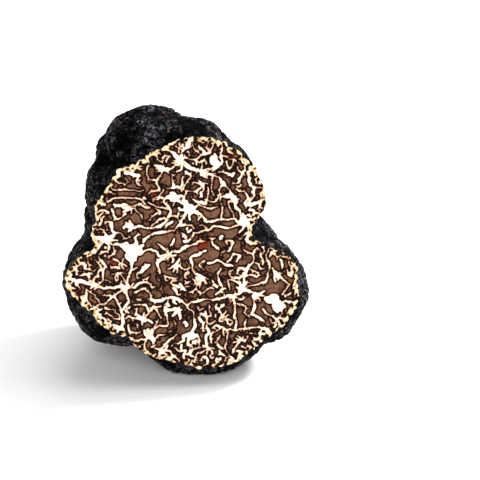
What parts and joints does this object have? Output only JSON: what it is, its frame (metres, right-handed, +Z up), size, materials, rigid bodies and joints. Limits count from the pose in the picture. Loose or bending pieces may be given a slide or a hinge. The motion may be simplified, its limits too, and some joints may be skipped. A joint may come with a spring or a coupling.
{
  "type": "black truffle",
  "caption": "Cut black truffle: a lumpy, warty black body with one side sliced flat to show marbled flesh, standing on a small flat below.",
  "frame": {"origin": "the point on the resting flat below the middle of the body", "axes": "+Z up as it stands; -Y towards the cut face, which leans back from upright by 10 degrees; +X to the right seen from in front of the cut"},
  "size_m": [0.0535, 0.0412, 0.0568],
  "materials": {
    "peridium": "near-black warty skin, dull with a faint sheen on the wart tips; the cut shows dark brown flesh with white branching veins"
  },
  "bodies": {
    "root": {"truffle": "peridium"}
  },
  "joints": []
}
